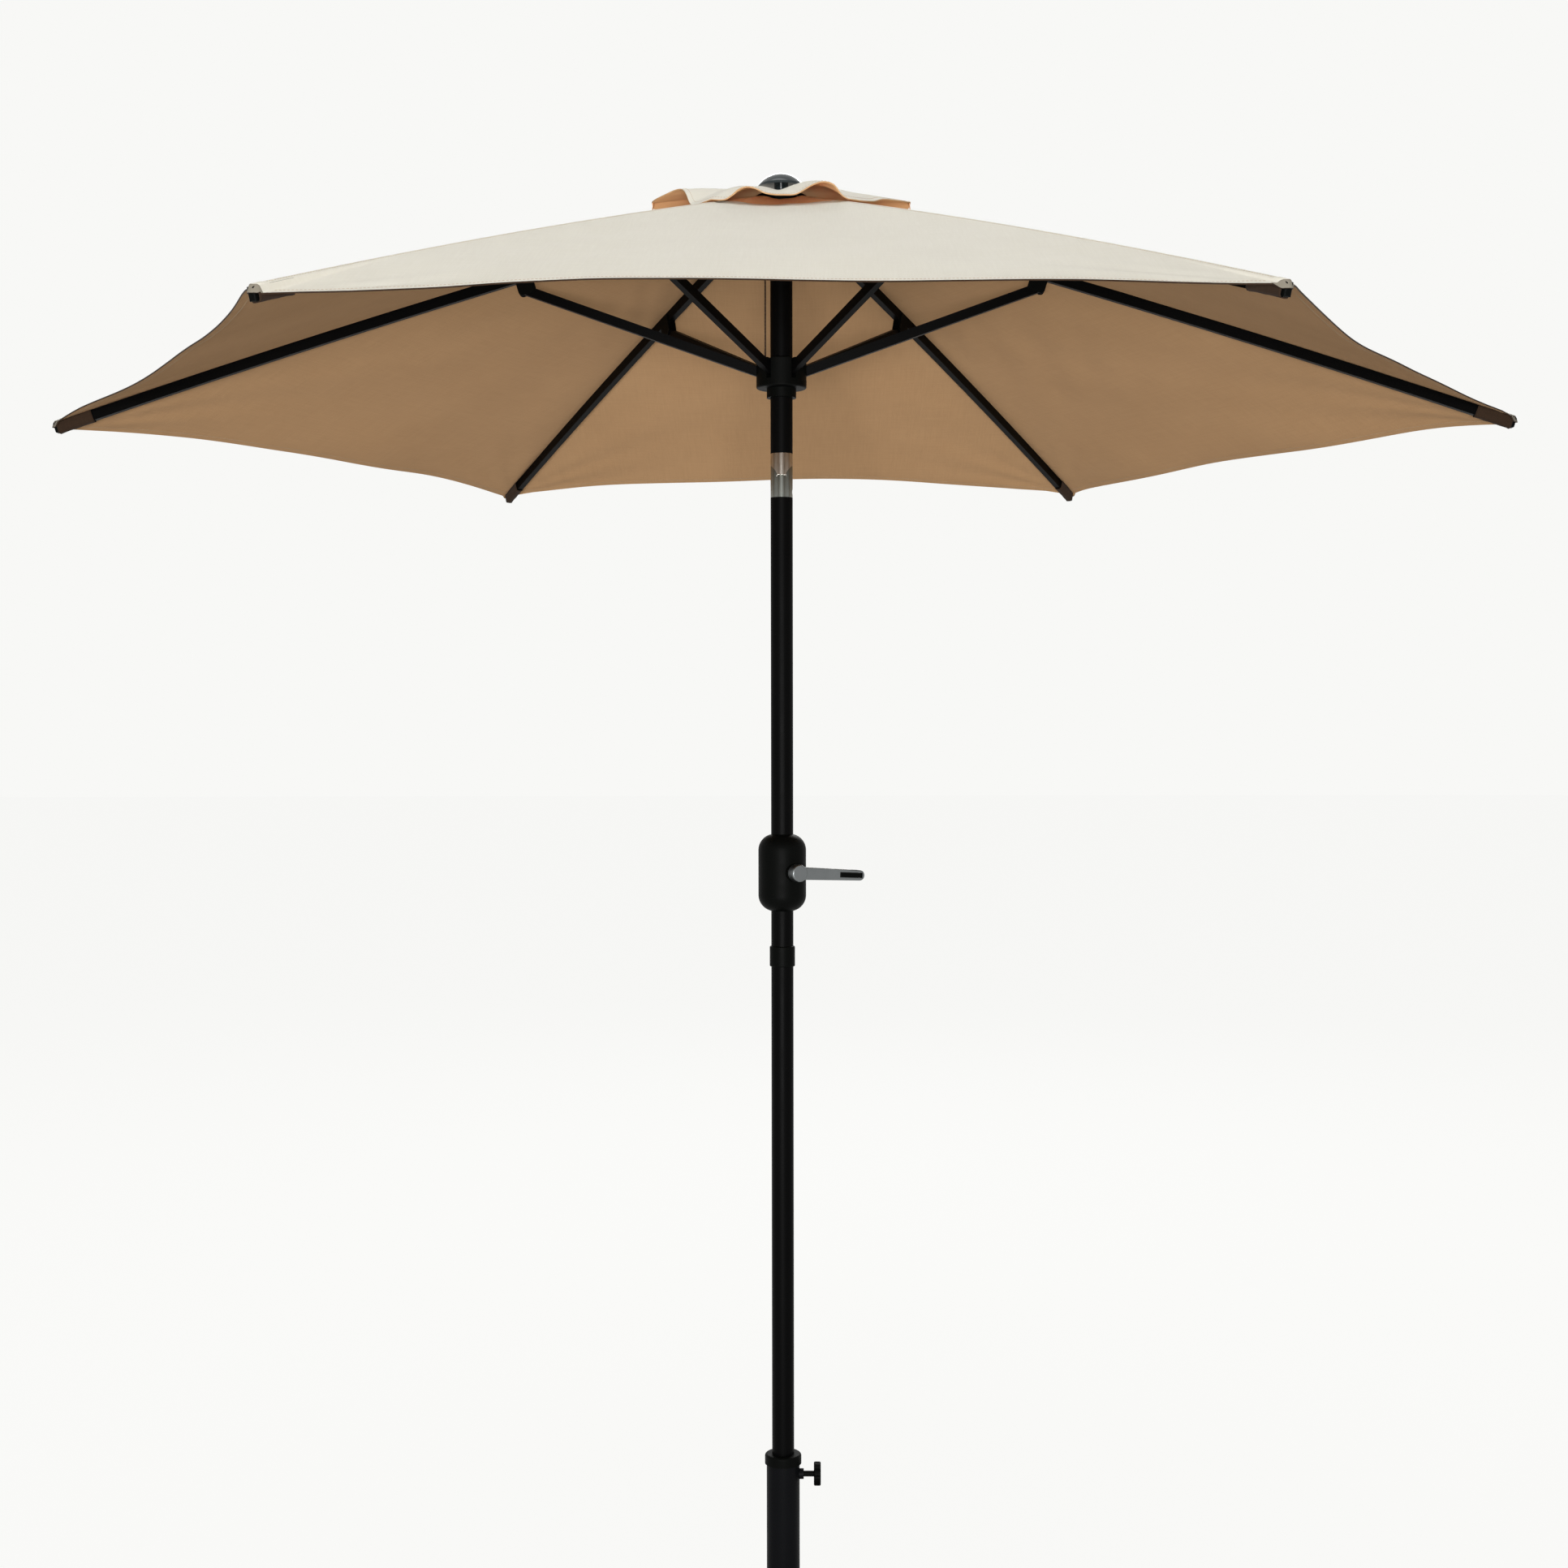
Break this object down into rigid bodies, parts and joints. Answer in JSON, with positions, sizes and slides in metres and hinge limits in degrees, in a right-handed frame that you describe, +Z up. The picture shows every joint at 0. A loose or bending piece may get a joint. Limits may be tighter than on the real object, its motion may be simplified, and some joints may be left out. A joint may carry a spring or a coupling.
{
  "type": "patio umbrella with base",
  "caption": "Free-standing patio umbrella: hinged ribs and struts under a vented cloth canopy, crank lift, push-button tilt, two-piece pole and a weighted base with a clamp screw.",
  "frame": {"origin": "on the floor, under the pole's axis", "axes": "+Z up along the pole, +X along the first rib and the clamp screw; the picture looks along +Y"},
  "size_m": [2.504, 2.173, 2.573],
  "materials": {
    "black_steel": "satin black powder coat on steel tube",
    "black_plastic": "moulded black plastic",
    "black_gloss": "glossy black plastic",
    "chrome": "bright plated casting",
    "cast_grey": "silver-grey casting",
    "steel": "plain steel",
    "base_iron": "black painted casting",
    "rubber": "black rubber",
    "cord": "dark braided cord",
    "canopy_cloth": "woven polyester, cream above and tan in the light below"
  },
  "bodies": {
    "base": {"base_plate": "base_iron", "base_feet": "rubber", "base_bolt": "steel", "base_tube": "black_steel", "base_tube_cap": "black_plastic"},
    "clamp_knob": {"base_clamp_knob": "black_plastic"},
    "lower_pole": {"lower_pole": "black_steel", "pole_foot": "black_plastic", "pole_collar": "black_plastic"},
    "upper_pole": {"middle_pole": "black_steel", "crank_housing_front": "black_plastic", "crank_housing_back": "black_plastic", "crank_housing_screws": "steel", "tilt_lower_knuckle": "chrome", "tilt_pivot_pin": "steel", "tilt_button_spring": "steel", "lift_cord_lower": "cord"},
    "crank": {"crank_spool": "steel", "crank_arm": "cast_grey"},
    "crank_grip": {"crank_grip": "black_plastic"},
    "tilt_button": {"tilt_button": "black_plastic"},
    "mast": {"tilt_upper_knuckle": "chrome", "mast_tube": "black_steel", "top_hub": "black_plastic", "hub_pins": "steel", "finial": "black_gloss", "lift_cord_upper": "cord"},
    "hub_pulley": {"hub_pulley": "black_plastic"},
    "runner": {"runner": "black_plastic", "runner_pins": "steel"},
    "rib_1": {"rib_1": "black_steel", "rib_fittings_1": "black_plastic", "canopy_gore_1": "canopy_cloth", "vent_gore_1": "canopy_cloth"},
    "strut_1": {"strut_1": "black_steel"},
    "rib_2": {"rib_2": "black_steel", "rib_fittings_2": "black_plastic", "canopy_gore_2": "canopy_cloth", "vent_gore_2": "canopy_cloth"},
    "strut_2": {"strut_2": "black_steel"},
    "rib_3": {"rib_3": "black_steel", "rib_fittings_3": "black_plastic", "canopy_gore_3": "canopy_cloth", "vent_gore_3": "canopy_cloth"},
    "strut_3": {"strut_3": "black_steel"},
    "rib_4": {"rib_4": "black_steel", "rib_fittings_4": "black_plastic", "canopy_gore_4": "canopy_cloth", "vent_gore_4": "canopy_cloth"},
    "strut_4": {"strut_4": "black_steel"},
    "rib_5": {"rib_5": "black_steel", "rib_fittings_5": "black_plastic", "canopy_gore_5": "canopy_cloth", "vent_gore_5": "canopy_cloth"},
    "strut_5": {"strut_5": "black_steel"},
    "rib_6": {"rib_6": "black_steel", "rib_fittings_6": "black_plastic", "canopy_gore_6": "canopy_cloth", "vent_gore_6": "canopy_cloth"},
    "strut_6": {"strut_6": "black_steel"}
  },
  "joints": [
    {"name": "clamp_turn", "type": "hinge", "parent": "base", "child": "clamp_knob", "pos_m": [0.05, 0, 0.338], "axis": [1, 0, 0], "range_deg": [0, 720]},
    {"name": "pole_swivel", "type": "hinge", "parent": "base", "child": "lower_pole", "pos_m": [0, 0, 0.3], "axis": [0, 0, 1], "continuous": true},
    {"name": "pole_lift", "type": "slide", "parent": "lower_pole", "child": "upper_pole", "axis": [0, 0, 1], "range_m": [0, 0.12]},
    {"name": "mast_tilt", "type": "hinge", "parent": "upper_pole", "child": "mast", "pos_m": [0, 0, 2.0585], "axis": [1, 0, 0], "range_deg": [-35, 0], "deforming": ["lift_cord_lower", "lift_cord_upper"]},
    {"name": "tilt_button_press", "type": "slide", "parent": "upper_pole", "child": "tilt_button", "axis": [-1, 0, 0], "range_m": [0, 0.003], "stiffness_N_per_m": 800, "springref_m": -0.003, "deforming": ["tilt_button_spring"]},
    {"name": "crank_turn", "type": "hinge", "parent": "upper_pole", "child": "crank", "pos_m": [0, 0, 1.38], "axis": [-0.5, 0.866, 0], "range_deg": [0, 3330]},
    {"name": "grip_fold", "type": "hinge", "parent": "crank", "child": "crank_grip", "pos_m": [0.13226, 0.01049, 1.37288], "axis": [0.0514, 0.0297, 0.9982], "range_deg": [0, 90]},
    {"name": "pulley_turn", "type": "hinge", "parent": "mast", "child": "hub_pulley", "pos_m": [-0.01559, 0.009, 2.513], "axis": [-0.5, -0.866, 0], "range_deg": [0, 2270]},
    {"name": "canopy_fold", "type": "hinge", "parent": "mast", "child": "rib_1", "pos_m": [0.034, 0, 2.518], "axis": [0, 1, 0], "range_deg": [0, 68], "deforming": ["canopy_gore_1", "vent_gore_1", "canopy_gore_2", "vent_gore_2", "canopy_gore_3", "vent_gore_3", "canopy_gore_4", "vent_gore_4", "canopy_gore_5", "vent_gore_5", "canopy_gore_6", "vent_gore_6", "lift_cord_upper"]},
    {"name": "strut_1_swing", "type": "hinge", "parent": "rib_1", "child": "strut_1", "pos_m": [0.43492, 0, 2.37584], "axis": [0, 1, 0], "range_deg": [-136, 0]},
    {"name": "rib_2_fold", "type": "hinge", "parent": "mast", "child": "rib_2", "pos_m": [0.017, 0.02944, 2.518], "axis": [-0.866, 0.5, 0], "range_deg": [0, 68]},
    {"name": "strut_2_swing", "type": "hinge", "parent": "rib_2", "child": "strut_2", "pos_m": [0.21746, 0.37665, 2.37584], "axis": [-0.866, 0.5, 0], "range_deg": [-136, 0]},
    {"name": "rib_3_fold", "type": "hinge", "parent": "mast", "child": "rib_3", "pos_m": [-0.017, 0.02944, 2.518], "axis": [-0.866, -0.5, 0], "range_deg": [0, 68]},
    {"name": "strut_3_swing", "type": "hinge", "parent": "rib_3", "child": "strut_3", "pos_m": [-0.21746, 0.37665, 2.37584], "axis": [-0.866, -0.5, 0], "range_deg": [-136, 0]},
    {"name": "rib_4_fold", "type": "hinge", "parent": "mast", "child": "rib_4", "pos_m": [-0.034, 0, 2.518], "axis": [0, -1, 0], "range_deg": [0, 68]},
    {"name": "strut_4_swing", "type": "hinge", "parent": "rib_4", "child": "strut_4", "pos_m": [-0.43492, 0, 2.37584], "axis": [0, -1, 0], "range_deg": [-136, 0]},
    {"name": "rib_5_fold", "type": "hinge", "parent": "mast", "child": "rib_5", "pos_m": [-0.017, -0.02944, 2.518], "axis": [0.866, -0.5, 0], "range_deg": [0, 68]},
    {"name": "strut_5_swing", "type": "hinge", "parent": "rib_5", "child": "strut_5", "pos_m": [-0.21746, -0.37665, 2.37584], "axis": [0.866, -0.5, 0], "range_deg": [-136, 0]},
    {"name": "rib_6_fold", "type": "hinge", "parent": "mast", "child": "rib_6", "pos_m": [0.017, -0.02944, 2.518], "axis": [0.866, 0.5, 0], "range_deg": [0, 68]},
    {"name": "strut_6_swing", "type": "hinge", "parent": "rib_6", "child": "strut_6", "pos_m": [0.21746, -0.37665, 2.37584], "axis": [0.866, 0.5, 0], "range_deg": [-136, 0]},
    {"name": "runner_level", "type": "hinge", "parent": "strut_1", "child": "runner", "pos_m": [0.034, 0, 2.23367], "axis": [0, 1, 0], "range_deg": [0, 68]}
  ],
  "couplings": [
    {"joint": "crank_turn", "follows": "canopy_fold", "ratio": 48.921},
    {"joint": "pulley_turn", "follows": "canopy_fold", "ratio": 33.3},
    {"joint": "strut_1_swing", "follows": "canopy_fold", "ratio": -2},
    {"joint": "rib_2_fold", "follows": "canopy_fold", "ratio": 1},
    {"joint": "strut_2_swing", "follows": "canopy_fold", "ratio": -2},
    {"joint": "rib_3_fold", "follows": "canopy_fold", "ratio": 1},
    {"joint": "strut_3_swing", "follows": "canopy_fold", "ratio": -2},
    {"joint": "rib_4_fold", "follows": "canopy_fold", "ratio": 1},
    {"joint": "strut_4_swing", "follows": "canopy_fold", "ratio": -2},
    {"joint": "rib_5_fold", "follows": "canopy_fold", "ratio": 1},
    {"joint": "strut_5_swing", "follows": "canopy_fold", "ratio": -2},
    {"joint": "rib_6_fold", "follows": "canopy_fold", "ratio": 1},
    {"joint": "strut_6_swing", "follows": "canopy_fold", "ratio": -2},
    {"joint": "runner_level", "follows": "canopy_fold", "ratio": 1}
  ]
}
